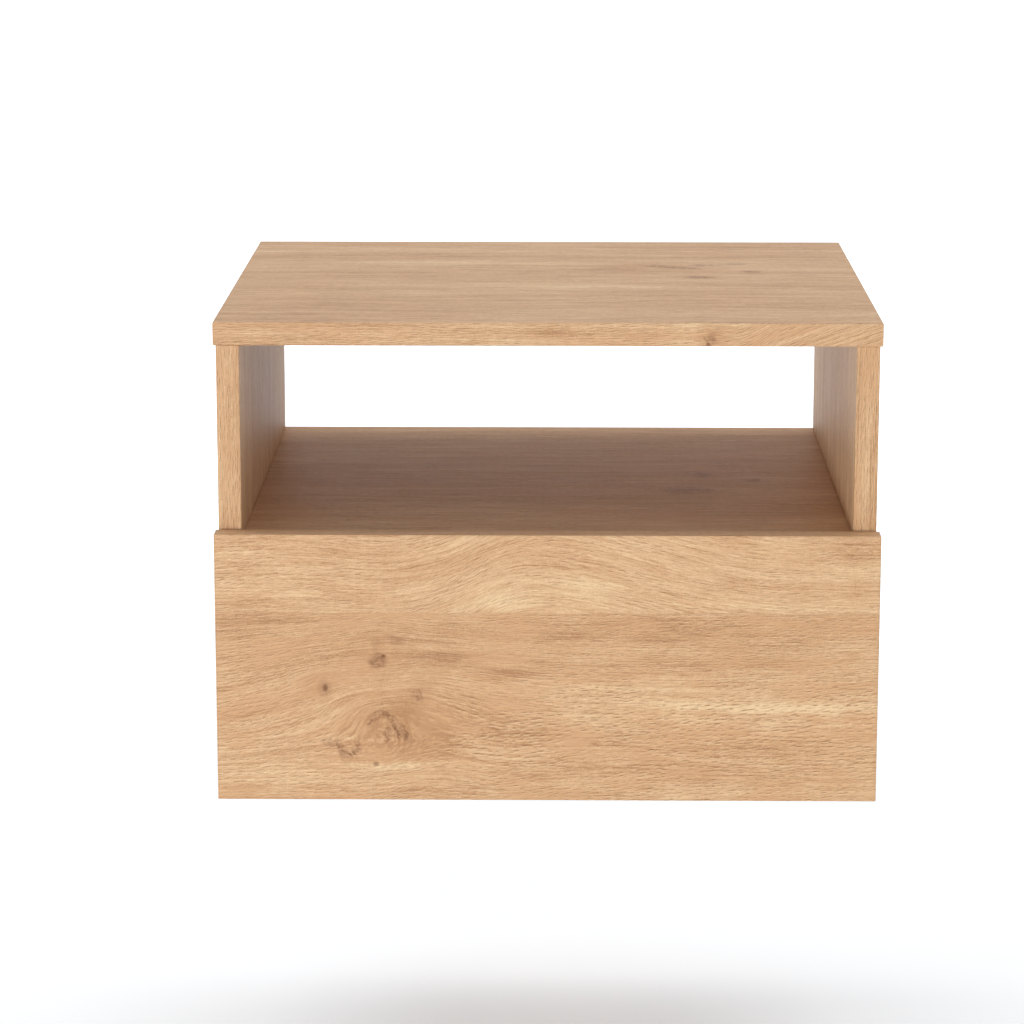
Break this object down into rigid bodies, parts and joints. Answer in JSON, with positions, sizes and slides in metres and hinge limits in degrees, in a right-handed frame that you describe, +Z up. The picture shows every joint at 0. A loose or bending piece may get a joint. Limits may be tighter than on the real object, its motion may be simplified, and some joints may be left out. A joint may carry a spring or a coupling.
{
  "type": "floating nightstand",
  "caption": "Wall-hung bedside cabinet in oak-look board: open bay over a handleless drawer whose full-width front rises past the shelf and runs on ball-bearing slides.",
  "frame": {"origin": "centre of the back panel's rear face, which lies against the wall", "axes": "+Z up, +Y into the wall, the drawer opens towards -Y, +X to the user's right"},
  "size_m": [0.46, 0.418, 0.335],
  "materials": {
    "oak_board": "satin knotty-oak decor on particle board, with matching edge bands",
    "drawer_board": "matt off-white melamine on particle board",
    "drawer_floor_board": "matt off-white lacquered hardboard",
    "slide_steel": "bright zinc-plated rolled steel",
    "ball_steel": "greased steel cage and balls",
    "cast_zinc": "plain cast zinc",
    "bolt_steel": "zinc-plated steel",
    "screw_steel": "yellow zinc-plated steel",
    "beech_dowel": "raw fluted beech"
  },
  "bodies": {
    "carcass": {"top_panel": "oak_board", "left_side_panel": "oak_board", "right_side_panel": "oak_board", "shelf_panel": "oak_board", "bottom_panel": "oak_board", "back_panel": "oak_board", "left_slide_cabinet_member": "slide_steel", "left_slide_cabinet_screw_front": "screw_steel", "top_dowel_left_front": "beech_dowel", "shelf_left_front_cam": "cast_zinc", "shelf_left_front_cam_bolt": "bolt_steel", "bottom_left_front_cam": "cast_zinc", "bottom_left_front_cam_bolt": "bolt_steel", "left_slide_cabinet_screw_rear": "screw_steel", "top_dowel_left_rear": "beech_dowel", "shelf_left_rear_cam": "cast_zinc", "shelf_left_rear_cam_bolt": "bolt_steel", "bottom_left_rear_cam": "cast_zinc", "bottom_left_rear_cam_bolt": "bolt_steel", "back_dowel_left_upper": "beech_dowel", "back_dowel_left_lower": "beech_dowel", "right_slide_cabinet_member": "slide_steel", "right_slide_cabinet_screw_front": "screw_steel", "top_dowel_right_front": "beech_dowel", "shelf_right_front_cam": "cast_zinc", "shelf_right_front_cam_bolt": "bolt_steel", "bottom_right_front_cam": "cast_zinc", "bottom_right_front_cam_bolt": "bolt_steel", "right_slide_cabinet_screw_rear": "screw_steel", "top_dowel_right_rear": "beech_dowel", "shelf_right_rear_cam": "cast_zinc", "shelf_right_rear_cam_bolt": "bolt_steel", "bottom_right_rear_cam": "cast_zinc", "bottom_right_rear_cam_bolt": "bolt_steel", "back_dowel_right_upper": "beech_dowel", "back_dowel_right_lower": "beech_dowel"},
    "drawer": {"drawer_front": "oak_board", "drawer_left_side": "drawer_board", "drawer_right_side": "drawer_board", "drawer_back": "drawer_board", "drawer_floor": "drawer_floor_board", "left_slide_drawer_member": "slide_steel", "left_slide_drawer_screw_front": "screw_steel", "left_slide_drawer_screw_rear": "screw_steel", "drawer_front_left_cam": "cast_zinc", "drawer_front_left_cam_bolt": "bolt_steel", "drawer_back_screw_left": "screw_steel", "right_slide_drawer_member": "slide_steel", "right_slide_drawer_screw_front": "screw_steel", "right_slide_drawer_screw_rear": "screw_steel", "drawer_front_right_cam": "cast_zinc", "drawer_front_right_cam_bolt": "bolt_steel", "drawer_back_screw_right": "screw_steel"},
    "left_slide_middle": {"left_slide_middle_member": "slide_steel"},
    "left_slide_outer_balls": {"left_slide_outer_ball_cage": "ball_steel"},
    "left_slide_inner_balls": {"left_slide_inner_ball_cage": "ball_steel"},
    "right_slide_middle": {"right_slide_middle_member": "slide_steel"},
    "right_slide_outer_balls": {"right_slide_outer_ball_cage": "ball_steel"},
    "right_slide_inner_balls": {"right_slide_inner_ball_cage": "ball_steel"}
  },
  "joints": [
    {"name": "drawer_slide", "type": "slide", "parent": "carcass", "child": "drawer", "axis": [0, -1, 0], "range_m": [0, 0.35]},
    {"name": "left_slide_middle_travel", "type": "slide", "parent": "carcass", "child": "left_slide_middle", "axis": [0, -1, 0], "range_m": [0, 0.175]},
    {"name": "left_slide_outer_balls_travel", "type": "slide", "parent": "carcass", "child": "left_slide_outer_balls", "axis": [0, -1, 0], "range_m": [0, 0.0875]},
    {"name": "left_slide_inner_balls_travel", "type": "slide", "parent": "carcass", "child": "left_slide_inner_balls", "axis": [0, -1, 0], "range_m": [0, 0.2625]},
    {"name": "right_slide_middle_travel", "type": "slide", "parent": "carcass", "child": "right_slide_middle", "axis": [0, -1, 0], "range_m": [0, 0.175]},
    {"name": "right_slide_outer_balls_travel", "type": "slide", "parent": "carcass", "child": "right_slide_outer_balls", "axis": [0, -1, 0], "range_m": [0, 0.0875]},
    {"name": "right_slide_inner_balls_travel", "type": "slide", "parent": "carcass", "child": "right_slide_inner_balls", "axis": [0, -1, 0], "range_m": [0, 0.2625]}
  ],
  "couplings": [
    {"joint": "left_slide_middle_travel", "follows": "drawer_slide", "ratio": 0.5},
    {"joint": "left_slide_outer_balls_travel", "follows": "drawer_slide", "ratio": 0.25},
    {"joint": "left_slide_inner_balls_travel", "follows": "drawer_slide", "ratio": 0.75},
    {"joint": "right_slide_middle_travel", "follows": "drawer_slide", "ratio": 0.5},
    {"joint": "right_slide_outer_balls_travel", "follows": "drawer_slide", "ratio": 0.25},
    {"joint": "right_slide_inner_balls_travel", "follows": "drawer_slide", "ratio": 0.75}
  ]
}
